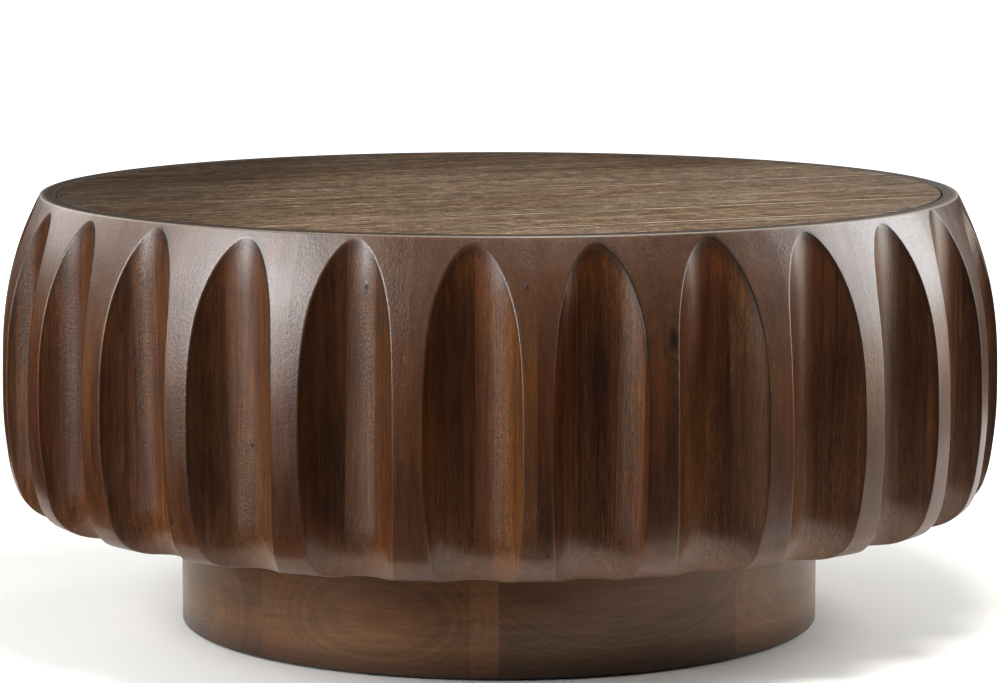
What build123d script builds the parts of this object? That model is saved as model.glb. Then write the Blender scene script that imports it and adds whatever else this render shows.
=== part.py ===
from build123d import *
import math
import os

# Fluted drum coffee table: a coopered drum of solid-wood staves on a round plinth,
# with a plank top let in flush.  Millimetres, +Z up, origin on the floor below the middle.

# ---------------------------------------------------------------- overall
TABLE_HEIGHT = 434.0          # floor to the top of the rim
PAD_HEIGHT = 2.0              # felt under the plinth
DRUM_BOTTOM = 120.0           # underside of the drum
RIM_RADIUS = 459.0            # outer edge of the rim

# ---------------------------------------------------------------- staves
STAVE_COUNT = 27
STAVE_PITCH = 360.0 / STAVE_COUNT
FLUTE_PHASE = -79.37          # heading of the first flute, from +X
WALL_RADIUS = 425.0           # inside of the drum wall
CORNER_RADIUS = 42.0          # roll-under at the bottom of the drum
CORNER_CENTRE = 449.0
CORNER_LEAN = 17.7            # lean of the wall where the roll-under starts
# outer face above the roll-under, as (radius, height)
BULGE = [(491.5, 157.0), (496.3, 182.0), (500.0, 220.0), (500.4, 250.0),
         (498.5, 302.0), (492.7, 342.0), (483.4, 377.0), (474.0, 402.0),
         (464.9, 422.0)]

# ---------------------------------------------------------------- flutes
FLUTE_RADIUS = 46.0           # radius of the cove
FLUTE_FLOOR = 465.5           # distance of its floor from the table's axis
FLUTE_LOW = 167.0             # the floor is plumb between these heights
FLUTE_HIGH = 377.0
FOOT_ARC = 58.5               # below, the floor turns in on this radius
HEAD_ARC = 340.0              # above, it leans in on this one
FOOT_TURN = 75.0
HEAD_TURN = 11.0

# ---------------------------------------------------------------- loose tongues between staves
TONGUE_RADIUS = 446.0
TONGUE_THICK = 4.0
TONGUE_WIDE = 24.0
TONGUE_SLACK = 0.3            # glue room at each edge of a tongue
TONGUE_LOW = 150.0
TONGUE_TALL = 240.0

# ---------------------------------------------------------------- top
RABBET_RADIUS = 443.5
PLANK_THICK = 18.0
PLANK_COUNT = 8
PLANK_WIDE = 118.0
PLANK_OFFSET = -2.0           # seam nearest the middle
PLANK_HEADING = 24.0          # grain direction, from +X
PLANK_EASE = 0.6              # eased upper edges
TOP_RADIUS = 442.3
SUBSTRATE_THICK = 12.0
SUBSTRATE_RADIUS = 443.0
LEDGE = TABLE_HEIGHT - PLANK_THICK - SUBSTRATE_THICK

# ---------------------------------------------------------------- bottom and plinth
PANEL_THICK = 18.0
PANEL_RADIUS = 424.8
PANEL_TOP = DRUM_BOTTOM + PANEL_THICK
PLINTH_RADIUS = 321.5
PLINTH_INSIDE = 285.0
PLINTH_SEGMENTS = 8
PLINTH_EASE = 1.2
PLATE_RADIUS = 300.0
PLATE_THICK = 18.0
PLATE_BOTTOM = DRUM_BOTTOM - PLATE_THICK

# ---------------------------------------------------------------- corner blocks
BLOCK_COUNT = 9
BLOCK_DEEP = 40.0
BLOCK_WIDE = 64.0
BLOCK_TALL = 40.0
BLOCK_FACE = WALL_RADIUS - BLOCK_DEEP
UPPER_BLOCK = LEDGE - BLOCK_TALL          # underside of the upper blocks
LOWER_BLOCK = PANEL_TOP                   # underside of the lower blocks
RISER_RADIUS = 399.0          # vertical block screws: distance from the axis
RISER_TURN = 3.0              # and degrees beside the block's middle

# ---------------------------------------------------------------- hardware
SCREW_R = 2.25
SCREW_HEAD_R = 4.5            # 90 degree countersunk heads
SCREW_HEAD_T = SCREW_HEAD_R - SCREW_R
SIDE_SCREW = 60.0
RISER_SCREW = 50.0
PANEL_SCREW = 38.0
PLATE_SCREW = 40.0
PLATE_SCREW_RADIUS = 292.5
PLANK_SCREW = 22.0
DOWEL_R = 5.0
DOWEL_LONG = 50.0
DOWEL_RADIUS = 301.0
DOWEL_HEIGHTS = (34.0, 76.0)
BOLT_R = 4.0
BOLT_HOLE_R = 4.25
BOLT_CIRCLE = 180.0
BOLT_COUNT = 6
BOLT_TOP = 142.0
BOLT_FLATS = 13.0
BOLT_HEAD = 5.3
WASHER_R = 8.0
WASHER_THICK = 1.6
TEE_R = 5.0
TEE_FLANGE_R = 11.0
TEE_FLANGE = 1.5
TEE_DEEP = 11.0
PAD_R = 12.5
PAD_CIRCLE = 303.0

os.makedirs("parts", exist_ok=True)


def heading(angle):
    """Unit vector in plan for an angle from +X."""
    a = math.radians(angle)
    return math.cos(a), math.sin(a)


def level(z, angle=0.0):
    """Level plane at a height, its x axis at a heading."""
    c, s = heading(angle)
    return Plane(origin=(0, 0, z), x_dir=(c, s, 0), z_dir=(0, 0, 1))


def upright(angle, radius=0.0, z=0.0):
    """Vertical plane through a point at that heading: x runs outwards and y up."""
    c, s = heading(angle)
    return Plane(origin=(radius * c, radius * s, z), x_dir=(c, s, 0), z_dir=(s, -c, 0))


def lying(angle, radius, z):
    """Level plane at a point: y runs outwards and x sideways, for a pin that points outwards."""
    c, s = heading(angle)
    return Plane(origin=(radius * c, radius * s, z), x_dir=(-s, c, 0), z_dir=(0, 0, -1))


def facing_in(angle, radius, z):
    """Plane whose normal points at the table's axis."""
    c, s = heading(angle)
    return Plane(origin=(radius * c, radius * s, z), x_dir=(s, -c, 0), z_dir=(-c, -s, 0))


def facing(z, up=1):
    """Level plane that faces up or down."""
    return Plane(origin=(0, 0, z), x_dir=(1, 0, 0), z_dir=(0, 0, up))


HALF = STAVE_PITCH / 2
BLOCK_EVERY = STAVE_COUNT // BLOCK_COUNT
BLOCK_ANGLES = [FLUTE_PHASE + i * BLOCK_EVERY * STAVE_PITCH for i in range(BLOCK_COUNT)]
SIDE_HEIGHTS = (LOWER_BLOCK + BLOCK_TALL / 2, UPPER_BLOCK + BLOCK_TALL / 2)

# plank screws, two to a plank, in the planks' own axes (along the grain, across it)
PLANK_SCREWS = []
for k in range(PLANK_COUNT):
    low = PLANK_OFFSET + PLANK_WIDE * (k - PLANK_COUNT // 2)
    across = max(low, -TOP_RADIUS) / 2 + min(low + PLANK_WIDE, TOP_RADIUS) / 2
    along = 0.55 * math.sqrt(TOP_RADIUS ** 2 - across ** 2)
    PLANK_SCREWS += [(-along, across), (along, across)]

# ================================================================ staves
foot_centre = FLUTE_FLOOR - FOOT_ARC
head_centre = FLUTE_FLOOR - HEAD_ARC
lean = math.radians(CORNER_LEAN)
corner_z = DRUM_BOTTOM + CORNER_RADIUS
shoulder = (CORNER_CENTRE + CORNER_RADIUS * math.cos(lean),
            corner_z - CORNER_RADIUS * math.sin(lean))
roll = math.radians((90.0 + CORNER_LEAN) / 2)
roll_mid = (CORNER_CENTRE + CORNER_RADIUS * math.cos(roll),
            corner_z - CORNER_RADIUS * math.sin(roll))
cove_low = Plane(origin=(FLUTE_FLOOR + FLUTE_RADIUS, 0, FLUTE_LOW))
cove_high = Plane(origin=(FLUTE_FLOOR + FLUTE_RADIUS, 0, FLUTE_HIGH))

with BuildPart() as plain_stave:
    # a sector of the drum wall, turned about the table's axis
    with BuildSketch(upright(-HALF)) as wall_section:
        with BuildLine() as wall_outline:
            Line((WALL_RADIUS, DRUM_BOTTOM), (CORNER_CENTRE, DRUM_BOTTOM))
            ThreePointArc((CORNER_CENTRE, DRUM_BOTTOM), roll_mid, shoulder)
            Spline(shoulder, *BULGE, (RIM_RADIUS, TABLE_HEIGHT),
                   tangents=[(math.sin(lean), math.cos(lean)), (-0.47, 0.883)])
            Polyline((RIM_RADIUS, TABLE_HEIGHT), (RABBET_RADIUS, TABLE_HEIGHT),
                     (RABBET_RADIUS, LEDGE), (WALL_RADIUS, LEDGE),
                     (WALL_RADIUS, DRUM_BOTTOM))
        make_face()
    revolve(axis=Axis.Z, revolution_arc=STAVE_PITCH)
    # the cove: a plumb run, a foot that turns in and a head that leans in
    with BuildSketch(cove_low) as cove_run:
        Circle(FLUTE_RADIUS)
    extrude(amount=FLUTE_HIGH - FLUTE_LOW, mode=Mode.SUBTRACT)
    with BuildSketch(cove_low) as cove_foot:
        Circle(FLUTE_RADIUS)
    revolve(axis=Axis((foot_centre, 0, FLUTE_LOW), (0, 1, 0)),
            revolution_arc=FOOT_TURN, mode=Mode.SUBTRACT)
    with BuildSketch(cove_high) as cove_head:
        Circle(FLUTE_RADIUS)
    revolve(axis=Axis((head_centre, 0, FLUTE_HIGH), (0, -1, 0)),
            revolution_arc=HEAD_TURN, mode=Mode.SUBTRACT)
    # half a groove for a loose tongue in each edge
    for side in (-HALF, HALF):
        with BuildSketch(level(TONGUE_LOW, side)) as groove:
            with Locations((TONGUE_RADIUS, 0)):
                Rectangle(TONGUE_THICK, TONGUE_WIDE + 2 * TONGUE_SLACK)
        extrude(amount=TONGUE_TALL, mode=Mode.SUBTRACT)

# every third stave carries corner blocks and is drilled for their screws
with BuildPart() as block_stave:
    add(plain_stave.part)
    with Locations(*[facing_in(0, WALL_RADIUS - 1, z) for z in SIDE_HEIGHTS]):
        Hole(SCREW_R, depth=SIDE_SCREW - BLOCK_DEEP + 2)

for i in range(STAVE_COUNT):
    source = block_stave if i % BLOCK_EVERY == 0 else plain_stave
    with BuildPart() as stave:
        add(source.part, rotation=(0, 0, FLUTE_PHASE + i * STAVE_PITCH))
    stave.part.label = f"stave_{i + 1:02d}"
    export_step(stave.part, f"parts/stave_{i + 1:02d}.step")

# ================================================================ loose tongues
with BuildPart() as stave_tongues:
    for i in range(STAVE_COUNT):
        with BuildSketch(level(TONGUE_LOW, FLUTE_PHASE + (i + 0.5) * STAVE_PITCH)) as tongue:
            with Locations((TONGUE_RADIUS, 0)):
                Rectangle(TONGUE_THICK, TONGUE_WIDE)
        extrude(amount=TONGUE_TALL)
stave_tongues.part.label = "stave_tongues"
export_step(stave_tongues.part, "parts/stave_tongues.step")

# ================================================================ corner blocks
block_back = math.sqrt(WALL_RADIUS ** 2 - (BLOCK_WIDE / 2) ** 2)

with BuildPart() as upper_corner_blocks:
    for angle in BLOCK_ANGLES:
        with BuildSketch(level(UPPER_BLOCK, angle)) as block:
            with BuildLine():
                Polyline((block_back, BLOCK_WIDE / 2), (BLOCK_FACE, BLOCK_WIDE / 2),
                         (BLOCK_FACE, -BLOCK_WIDE / 2), (block_back, -BLOCK_WIDE / 2))
                ThreePointArc((block_back, -BLOCK_WIDE / 2), (WALL_RADIUS, 0),
                              (block_back, BLOCK_WIDE / 2))
            make_face()
        extrude(amount=BLOCK_TALL)
        with Locations(facing_in(angle, BLOCK_FACE, SIDE_HEIGHTS[1])):
            CounterSinkHole(SCREW_R, SCREW_HEAD_R, depth=BLOCK_DEEP + 2,
                            counter_sink_angle=90)
    with Locations(facing(UPPER_BLOCK, -1)):
        with PolarLocations(RISER_RADIUS, BLOCK_COUNT,
                            start_angle=-(FLUTE_PHASE + RISER_TURN)):
            CounterSinkHole(SCREW_R, SCREW_HEAD_R, depth=BLOCK_TALL + 2,
                            counter_sink_angle=90)
upper_corner_blocks.part.label = "upper_corner_blocks"
export_step(upper_corner_blocks.part, "parts/upper_corner_blocks.step")

with BuildPart() as lower_corner_blocks:
    for angle in BLOCK_ANGLES:
        with BuildSketch(level(LOWER_BLOCK, angle)) as block:
            with BuildLine():
                Polyline((block_back, BLOCK_WIDE / 2), (BLOCK_FACE, BLOCK_WIDE / 2),
                         (BLOCK_FACE, -BLOCK_WIDE / 2), (block_back, -BLOCK_WIDE / 2))
                ThreePointArc((block_back, -BLOCK_WIDE / 2), (WALL_RADIUS, 0),
                              (block_back, BLOCK_WIDE / 2))
            make_face()
        extrude(amount=BLOCK_TALL)
        with Locations(facing_in(angle, BLOCK_FACE, SIDE_HEIGHTS[0])):
            CounterSinkHole(SCREW_R, SCREW_HEAD_R, depth=BLOCK_DEEP + 2,
                            counter_sink_angle=90)
    with Locations(facing(LOWER_BLOCK, -1)):
        with PolarLocations(RISER_RADIUS, BLOCK_COUNT,
                            start_angle=-(FLUTE_PHASE + RISER_TURN)):
            Hole(SCREW_R, depth=PANEL_SCREW - PANEL_THICK + 1)
lower_corner_blocks.part.label = "lower_corner_blocks"
export_step(lower_corner_blocks.part, "parts/lower_corner_blocks.step")

# ================================================================ top
with BuildPart() as top_substrate:
    with BuildSketch(level(LEDGE)) as board:
        Circle(SUBSTRATE_RADIUS)
    extrude(amount=SUBSTRATE_THICK)
    with Locations(facing(LEDGE, -1)):
        with PolarLocations(RISER_RADIUS, BLOCK_COUNT,
                            start_angle=-(FLUTE_PHASE + RISER_TURN)):
            Hole(SCREW_R, depth=RISER_SCREW - BLOCK_TALL + 0.5)
    c, s = heading(PLANK_HEADING)
    with Locations(*[Plane(origin=(u * c - v * s, u * s + v * c, LEDGE),
                           x_dir=(1, 0, 0), z_dir=(0, 0, -1)) for u, v in PLANK_SCREWS]):
        CounterSinkHole(SCREW_R, SCREW_HEAD_R, depth=SUBSTRATE_THICK + 2,
                        counter_sink_angle=90)
top_substrate.part.label = "top_substrate"
export_step(top_substrate.part, "parts/top_substrate.step")

for k in range(PLANK_COUNT):
    low = PLANK_OFFSET + PLANK_WIDE * (k - PLANK_COUNT // 2)
    with BuildPart() as plank:
        with BuildSketch(level(LEDGE + SUBSTRATE_THICK, PLANK_HEADING)) as plank_outline:
            Circle(TOP_RADIUS)
            with Locations((0, low + PLANK_WIDE / 2)):
                Rectangle(2 * TOP_RADIUS, PLANK_WIDE, mode=Mode.INTERSECT)
        extrude(amount=PLANK_THICK)
        chamfer(plank.faces().sort_by(Axis.Z)[-1].edges(), length=PLANK_EASE)
        c, s = heading(PLANK_HEADING)
        with Locations(*[Plane(origin=(u * c - v * s, u * s + v * c, LEDGE + SUBSTRATE_THICK),
                               x_dir=(1, 0, 0), z_dir=(0, 0, -1))
                         for u, v in PLANK_SCREWS[2 * k:2 * k + 2]]):
            Hole(SCREW_R, depth=PLANK_SCREW - SUBSTRATE_THICK + 0.5)
    plank.part.label = f"top_plank_{k + 1}"
    export_step(plank.part, f"parts/top_plank_{k + 1}.step")

# ================================================================ bottom panel
with BuildPart() as bottom_panel:
    with BuildSketch(level(DRUM_BOTTOM)) as panel:
        Circle(PANEL_RADIUS)
    extrude(amount=PANEL_THICK)
    with Locations(facing(DRUM_BOTTOM, -1)):
        with PolarLocations(RISER_RADIUS, BLOCK_COUNT,
                            start_angle=-(FLUTE_PHASE + RISER_TURN)):
            CounterSinkHole(SCREW_R, SCREW_HEAD_R, depth=PANEL_THICK + 2,
                            counter_sink_angle=90)
    with Locations(facing(PANEL_TOP)):
        with PolarLocations(BOLT_CIRCLE, BOLT_COUNT):
            CounterBoreHole(BOLT_HOLE_R, TEE_R, TEE_DEEP, depth=PANEL_THICK + 2)
bottom_panel.part.label = "bottom_panel"
export_step(bottom_panel.part, "parts/bottom_panel.step")

# ================================================================ plinth
with BuildPart() as straight_segment:
    with BuildSketch(upright(-180.0 / PLINTH_SEGMENTS)) as plinth_section:
        with BuildLine():
            Polyline((PLINTH_INSIDE, PAD_HEIGHT), (PLINTH_RADIUS - PLINTH_EASE, PAD_HEIGHT),
                     (PLINTH_RADIUS, PAD_HEIGHT + PLINTH_EASE),
                     (PLINTH_RADIUS, DRUM_BOTTOM), (PLATE_RADIUS, DRUM_BOTTOM),
                     (PLATE_RADIUS, PLATE_BOTTOM), (PLINTH_INSIDE, PLATE_BOTTOM),
                     close=True)
        make_face()
    revolve(axis=Axis.Z, revolution_arc=360.0 / PLINTH_SEGMENTS)
    # dowel holes in both ends
    for side in (-1, 1):
        c, s = heading(side * 180.0 / PLINTH_SEGMENTS)
        with Locations(*[Plane(origin=(DOWEL_RADIUS * c, DOWEL_RADIUS * s, z),
                               x_dir=(0, 0, 1), z_dir=(-s * side, c * side, 0))
                         for z in DOWEL_HEIGHTS]):
            Hole(DOWEL_R, depth=DOWEL_LONG / 2)
    # pilot holes for the plate's screws
    with Locations(facing(PLATE_BOTTOM)):
        with PolarLocations(PLATE_SCREW_RADIUS, 2, start_angle=-90.0 / PLINTH_SEGMENTS,
                            angular_range=180.0 / PLINTH_SEGMENTS, endpoint=True):
            Hole(SCREW_R, depth=PLATE_SCREW - PLATE_THICK + 1)

for j in range(PLINTH_SEGMENTS):
    with BuildPart() as plinth_segment:
        add(straight_segment.part, rotation=(0, 0, -90.0 + (j + 0.5) * 360.0 / PLINTH_SEGMENTS))
    plinth_segment.part.label = f"plinth_segment_{j + 1}"
    export_step(plinth_segment.part, f"parts/plinth_segment_{j + 1}.step")

with BuildPart() as plinth_dowels:
    for j in range(PLINTH_SEGMENTS):
        c, s = heading(-90.0 + j * 360.0 / PLINTH_SEGMENTS)
        for z in DOWEL_HEIGHTS:
            start = (DOWEL_RADIUS * c + s * DOWEL_LONG / 2,
                     DOWEL_RADIUS * s - c * DOWEL_LONG / 2, z)
            with BuildSketch(Plane(origin=start, x_dir=(0, 0, 1), z_dir=(-s, c, 0))) as dowel:
                Circle(DOWEL_R)
            extrude(amount=DOWEL_LONG)
plinth_dowels.part.label = "plinth_dowels"
export_step(plinth_dowels.part, "parts/plinth_dowels.step")

with BuildPart() as plinth_plate:
    with BuildSketch(level(PLATE_BOTTOM)) as plate:
        Circle(PLATE_RADIUS)
    extrude(amount=PLATE_THICK)
    with Locations(facing(DRUM_BOTTOM)):
        with PolarLocations(PLATE_SCREW_RADIUS, 2 * PLINTH_SEGMENTS,
                            start_angle=-90.0 + 90.0 / PLINTH_SEGMENTS):
            CounterSinkHole(SCREW_R, SCREW_HEAD_R, depth=PLATE_THICK + 2,
                            counter_sink_angle=90)
        with PolarLocations(BOLT_CIRCLE, BOLT_COUNT):
            Hole(BOLT_HOLE_R)
plinth_plate.part.label = "plinth_plate"
export_step(plinth_plate.part, "parts/plinth_plate.step")

with BuildPart() as felt_pads:
    for j in range(PLINTH_SEGMENTS):
        angle = -90.0 + (j + 0.5) * 360.0 / PLINTH_SEGMENTS
        with BuildSketch(level(0, angle)) as pad:
            with Locations((PAD_CIRCLE, 0)):
                Circle(PAD_R)
        extrude(amount=PAD_HEIGHT)
felt_pads.part.label = "felt_pads"
export_step(felt_pads.part, "parts/felt_pads.step")

# ================================================================ screws
# corner blocks to staves
with BuildPart() as corner_block_screws:
    for angle in BLOCK_ANGLES:
        for z in SIDE_HEIGHTS:
            at = lying(angle, BLOCK_FACE, z)
            with BuildSketch(at) as side_screw:
                with BuildLine():
                    Polyline((0, 0), (SCREW_HEAD_R, 0), (SCREW_R, SCREW_HEAD_T),
                             (SCREW_R, SIDE_SCREW - 4), (0.5, SIDE_SCREW), (0, SIDE_SCREW),
                             close=True)
                make_face()
            revolve(axis=Axis(at.origin, at.y_dir))
corner_block_screws.part.label = "corner_block_screws"
export_step(corner_block_screws.part, "parts/corner_block_screws.step")

# upper blocks to the top
with BuildPart() as top_fixing_screws:
    for angle in BLOCK_ANGLES:
        at = upright(angle + RISER_TURN, RISER_RADIUS, UPPER_BLOCK)
        with BuildSketch(at) as riser_screw:
            with BuildLine():
                Polyline((0, 0), (SCREW_HEAD_R, 0), (SCREW_R, SCREW_HEAD_T),
                         (SCREW_R, RISER_SCREW - 4), (0.5, RISER_SCREW), (0, RISER_SCREW),
                         close=True)
            make_face()
        revolve(axis=Axis(at.origin, (0, 0, 1)))
top_fixing_screws.part.label = "top_fixing_screws"
export_step(top_fixing_screws.part, "parts/top_fixing_screws.step")

# bottom panel to the lower blocks
with BuildPart() as bottom_panel_screws:
    for angle in BLOCK_ANGLES:
        at = upright(angle + RISER_TURN, RISER_RADIUS, DRUM_BOTTOM)
        with BuildSketch(at) as panel_screw:
            with BuildLine():
                Polyline((0, 0), (SCREW_HEAD_R, 0), (SCREW_R, SCREW_HEAD_T),
                         (SCREW_R, PANEL_SCREW - 4), (0.5, PANEL_SCREW), (0, PANEL_SCREW),
                         close=True)
            make_face()
        revolve(axis=Axis(at.origin, (0, 0, 1)))
bottom_panel_screws.part.label = "bottom_panel_screws"
export_step(bottom_panel_screws.part, "parts/bottom_panel_screws.step")

# substrate to the planks
with BuildPart() as plank_screws:
    for u, v in PLANK_SCREWS:
        angle = PLANK_HEADING + math.degrees(math.atan2(v, u))
        at = upright(angle, math.hypot(u, v), LEDGE)
        with BuildSketch(at) as plank_screw:
            with BuildLine():
                Polyline((0, 0), (SCREW_HEAD_R, 0), (SCREW_R, SCREW_HEAD_T),
                         (SCREW_R, PLANK_SCREW - 3), (0.5, PLANK_SCREW), (0, PLANK_SCREW),
                         close=True)
            make_face()
        revolve(axis=Axis(at.origin, (0, 0, 1)))
plank_screws.part.label = "plank_screws"
export_step(plank_screws.part, "parts/plank_screws.step")

# plate to the plinth, heads up
with BuildPart() as plinth_plate_screws:
    for n in range(2 * PLINTH_SEGMENTS):
        angle = -90.0 + (n + 0.5) * 180.0 / PLINTH_SEGMENTS
        at = upright(angle, PLATE_SCREW_RADIUS, DRUM_BOTTOM)
        with BuildSketch(at) as plate_screw:
            with BuildLine():
                Polyline((0, 0), (SCREW_HEAD_R, 0), (SCREW_R, -SCREW_HEAD_T),
                         (SCREW_R, 4 - PLATE_SCREW), (0.5, -PLATE_SCREW), (0, -PLATE_SCREW),
                         close=True)
            make_face()
        revolve(axis=Axis(at.origin, (0, 0, 1)))
plinth_plate_screws.part.label = "plinth_plate_screws"
export_step(plinth_plate_screws.part, "parts/plinth_plate_screws.step")

# ================================================================ plinth to drum
with BuildPart() as mounting_washers:
    with BuildSketch(level(PLATE_BOTTOM - WASHER_THICK)) as washers:
        with PolarLocations(BOLT_CIRCLE, BOLT_COUNT):
            Circle(WASHER_R)
            Circle(BOLT_HOLE_R, mode=Mode.SUBTRACT)
    extrude(amount=WASHER_THICK)
mounting_washers.part.label = "mounting_washers"
export_step(mounting_washers.part, "parts/mounting_washers.step")

with BuildPart() as mounting_bolts:
    with BuildSketch(level(PLATE_BOTTOM - WASHER_THICK - BOLT_HEAD)) as bolt_heads:
        with PolarLocations(BOLT_CIRCLE, BOLT_COUNT):
            RegularPolygon(BOLT_FLATS / 2, 6, major_radius=False)
    extrude(amount=BOLT_HEAD)
    with BuildSketch(level(PLATE_BOTTOM - WASHER_THICK)) as bolt_shanks:
        with PolarLocations(BOLT_CIRCLE, BOLT_COUNT):
            Circle(BOLT_R)
    extrude(amount=BOLT_TOP - PLATE_BOTTOM + WASHER_THICK)
mounting_bolts.part.label = "mounting_bolts"
export_step(mounting_bolts.part, "parts/mounting_bolts.step")

with BuildPart() as tee_nuts:
    with BuildSketch(level(PANEL_TOP - TEE_DEEP)) as tee_barrels:
        with PolarLocations(BOLT_CIRCLE, BOLT_COUNT):
            Circle(TEE_R)
    extrude(amount=TEE_DEEP)
    with BuildSketch(level(PANEL_TOP)) as tee_flanges:
        with PolarLocations(BOLT_CIRCLE, BOLT_COUNT):
            Circle(TEE_FLANGE_R)
    extrude(amount=TEE_FLANGE)
    with BuildSketch(level(PANEL_TOP - TEE_DEEP)) as tee_bores:
        with PolarLocations(BOLT_CIRCLE, BOLT_COUNT):
            Circle(BOLT_R)
    extrude(amount=TEE_DEEP + TEE_FLANGE, mode=Mode.SUBTRACT)
tee_nuts.part.label = "tee_nuts"
export_step(tee_nuts.part, "parts/tee_nuts.step")
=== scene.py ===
import math

import bpy
import numpy as np
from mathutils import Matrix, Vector


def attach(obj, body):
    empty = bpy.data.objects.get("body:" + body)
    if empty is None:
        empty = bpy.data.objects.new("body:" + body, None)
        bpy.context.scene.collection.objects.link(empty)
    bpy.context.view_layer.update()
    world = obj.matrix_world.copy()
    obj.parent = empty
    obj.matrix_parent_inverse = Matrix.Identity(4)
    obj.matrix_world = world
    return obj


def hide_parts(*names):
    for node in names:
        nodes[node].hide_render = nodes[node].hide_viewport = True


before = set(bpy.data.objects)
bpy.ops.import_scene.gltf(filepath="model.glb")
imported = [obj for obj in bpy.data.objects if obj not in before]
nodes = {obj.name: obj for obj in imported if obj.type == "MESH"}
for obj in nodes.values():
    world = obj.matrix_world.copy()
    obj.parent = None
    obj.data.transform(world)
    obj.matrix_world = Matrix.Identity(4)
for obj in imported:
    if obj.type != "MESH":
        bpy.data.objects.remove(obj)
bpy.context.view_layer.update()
MM = 0.001

# ================================================================ sizes of the carved pieces, in mm
STAVES = 27
PITCH = 360.0 / STAVES
HALF = math.radians(PITCH / 2)
PHASE = -79.37                     # heading of the first flute
TOP, DRUM_LOW = 434.0, 120.0
WALL_R, RABBET_R, LEDGE = 425.0, 443.5, 404.0
RIM_R = 459.0
CORNER_R, CORNER_C, CORNER_LEAN = 42.0, 449.0, math.radians(17.7)
BULGE = [(491.5, 157.0), (496.3, 182.0), (500.0, 220.0), (500.4, 250.0), (498.5, 302.0),
         (492.7, 342.0), (483.4, 377.0), (474.0, 402.0), (464.9, 422.0)]
COVE_R, FLOOR_R = 46.0, 465.5
COVE_LOW, COVE_HIGH = 167.0, 377.0
FOOT_ARC, HEAD_ARC = 58.5, 340.0
GROOVE = (444.0, 448.0, 150.0, 390.0, 12.3)   # radii, heights and depth of a tongue's groove
rng = np.random.default_rng(20)


# ================================================================ mesh helpers
def new_piece(name, verts, faces, node, flat=(), attributes=None, sharp=34.0):
    """A closed mesh that stands for one CAD node. verts in metres; faces listed in flat stay flat shaded."""
    me = bpy.data.meshes.new(name)
    me.from_pydata([tuple(v) for v in verts], [], faces)
    me.validate()
    smooth = np.ones(len(me.polygons), bool)
    smooth[list(flat)] = False
    me.polygons.foreach_set("use_smooth", smooth)
    me.set_sharp_from_angle(angle=math.radians(sharp))
    for key, values in (attributes or {}).items():
        values = np.asarray(values, np.float32)
        if values.ndim == 2:
            me.attributes.new(key, "FLOAT_VECTOR", "POINT").data.foreach_set("vector", values.ravel())
        else:
            me.attributes.new(key, "FLOAT", "POINT").data.foreach_set("value", values)
    me.update()
    ob = bpy.data.objects.new(name, me)
    bpy.context.scene.collection.objects.link(ob)
    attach(ob, "root")
    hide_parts(node)
    return ob


def clamped_spline(points, first, last, step):
    """Cubic spline through the points with unit end tangents, sampled about every step mm."""
    p = np.array(points, float)
    h = np.linalg.norm(np.diff(p, axis=0), axis=1)
    n = len(p)
    a, b = np.zeros((n, n)), np.zeros((n, 2))
    a[0, 0] = a[-1, -1] = 1
    b[0], b[-1] = first, last
    for i in range(1, n - 1):
        a[i, i - 1], a[i, i], a[i, i + 1] = h[i], 2 * (h[i - 1] + h[i]), h[i - 1]
        b[i] = 3 * (h[i] * (p[i] - p[i - 1]) / h[i - 1] + h[i - 1] * (p[i + 1] - p[i]) / h[i])
    m = np.linalg.solve(a, b)
    out = []
    for i in range(n - 1):
        t = np.linspace(0, 1, max(4, int(round(h[i] / step))) + 1)[:-1, None]
        out.append((2 * t**3 - 3 * t**2 + 1) * p[i] + (t**3 - 2 * t**2 + t) * h[i] * m[i]
                   + (-2 * t**3 + 3 * t**2) * p[i + 1] + (t**3 - t**2) * h[i] * m[i + 1])
    return np.vstack([*out, p[-1:]])


def resample(path, spacing):
    """Points along a fine polyline where spacing(z) mm gives the distance between them."""
    seg = np.linalg.norm(np.diff(path, axis=0), axis=1)
    s = np.concatenate([[0], np.cumsum(seg)])
    rate = 1 / np.array([spacing(z) for z in path[:, 1]])
    count = np.concatenate([[0], np.cumsum((rate[1:] + rate[:-1]) / 2 * seg)])
    k = np.interp(np.linspace(0, count[-1], int(round(count[-1])) + 1), count, s)
    return np.stack([np.interp(k, s, path[:, 0]), np.interp(k, s, path[:, 1])], 1)


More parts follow.
